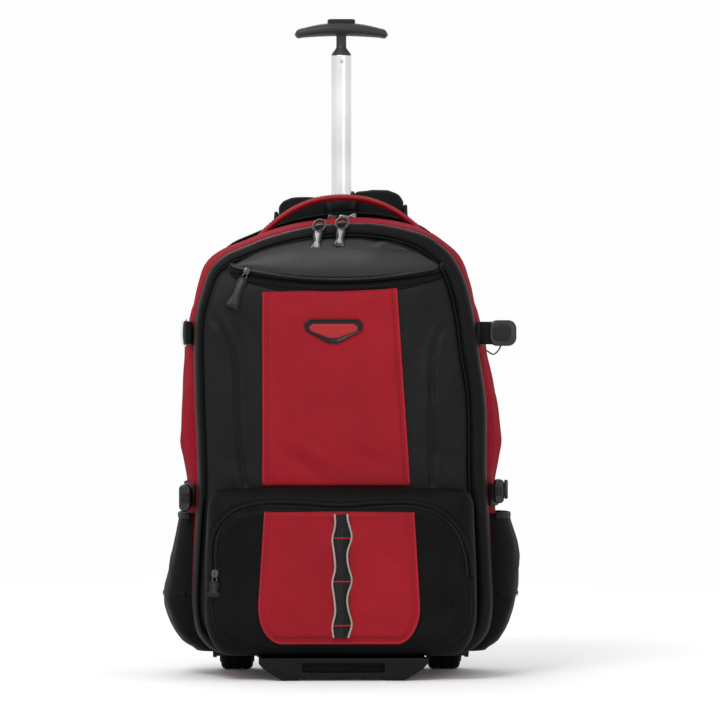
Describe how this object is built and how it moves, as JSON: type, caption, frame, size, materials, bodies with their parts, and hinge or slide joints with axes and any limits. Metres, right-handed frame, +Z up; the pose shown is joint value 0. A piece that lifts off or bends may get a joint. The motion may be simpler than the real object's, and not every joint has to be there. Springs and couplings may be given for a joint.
{
  "type": "wheeled backpack",
  "caption": "Soft zipped backpack on a hard wheeled base, with a telescopic pull handle, padded shoulder straps, a front pocket, side pockets and a carry handle on top.",
  "frame": {"origin": "middle of the bag's outline on the floor, under its bounding box", "axes": "+Z up along the pole, -Y the front of the bag with its pockets, +Y the side worn against the back, +X the right as seen from the front"},
  "size_m": [0.3908, 0.27, 0.7236],
  "materials": {
    "red_cloth": "deep red woven nylon with a low sheen",
    "black_cloth": "charcoal black woven nylon, softly padded",
    "black_mesh": "black mesh cloth",
    "webbing": "ribbed black webbing",
    "zip_tape": "black coil zip on woven tape",
    "zip_metal": "bright zip metal",
    "black_plastic": "fine-grained black plastic",
    "grey_plastic": "dark grey plastic with a soft touch",
    "badge_rubber": "moulded black rubber",
    "pole_tube": "satin silver anodised tube",
    "steel": "plain steel pin",
    "wheel_rubber": "black rubber wheel"
  },
  "bodies": {
    "bag": {"main_body": "red_cloth", "rear_compartment": "black_cloth", "front_compartment": "black_cloth", "lower_pocket": "black_cloth", "main_zip": "zip_tape", "rear_zip": "zip_tape", "upper_zip": "zip_tape", "lower_zip": "zip_tape", "hood": "black_cloth", "upper_red_panel": "red_cloth", "lower_red_panel": "red_cloth", "loop_strap": "webbing", "badge": "badge_rubber", "side_pocket_left": "black_mesh", "side_pocket_right": "black_mesh", "upper_strap_left": "webbing", "lower_strap_left": "webbing", "upper_strap_right": "webbing", "lower_strap_right": "webbing", "upper_buckle_left": "black_plastic", "upper_loop_right": "webbing", "upper_buckle_right": "black_plastic", "lower_buckle_left": "black_plastic", "lower_buckle_right": "black_plastic", "strap_end_right": "webbing", "main_pull_left": "zip_metal", "main_pull_right": "zip_metal", "upper_pull": "zip_metal", "lower_pull": "zip_metal", "rear_pull": "zip_metal", "carry_handle": "red_cloth", "shoulder_strap_left": "black_cloth", "strap_webbing_left": "webbing", "strap_adjuster_left": "black_plastic", "shoulder_strap_right": "black_cloth", "strap_webbing_right": "webbing", "strap_adjuster_right": "black_plastic", "back_pad_left": "black_mesh", "back_pad_right": "black_mesh", "lumbar_pad": "black_mesh", "outer_tube": "pole_tube", "pole_collar": "black_plastic", "base_tray": "black_plastic", "front_stand": "black_plastic", "wheel_housing_left": "black_plastic", "axle_left": "steel", "wheel_housing_right": "black_plastic", "axle_right": "steel"},
    "handle": {"inner_tube": "pole_tube", "pole_rivet": "steel", "grip": "grey_plastic"},
    "button": {"grip_button": "black_plastic"},
    "left_wheel": {"wheel_left": "wheel_rubber"},
    "right_wheel": {"wheel_right": "wheel_rubber"}
  },
  "joints": [
    {"name": "handle_slide", "type": "slide", "parent": "bag", "child": "handle", "axis": [0, 0, 1], "range_m": [-0.15, 0.23]},
    {"name": "button_press", "type": "slide", "parent": "handle", "child": "button", "axis": [0, 0, -1], "range_m": [0, 0.003], "stiffness_N_per_m": 800},
    {"name": "wheel_left_spin", "type": "hinge", "parent": "bag", "child": "left_wheel", "pos_m": [-0.1144, 0.0744, 0.027], "axis": [1, 0, 0], "continuous": true},
    {"name": "wheel_right_spin", "type": "hinge", "parent": "bag", "child": "right_wheel", "pos_m": [0.1156, 0.0744, 0.027], "axis": [1, 0, 0], "continuous": true}
  ]
}
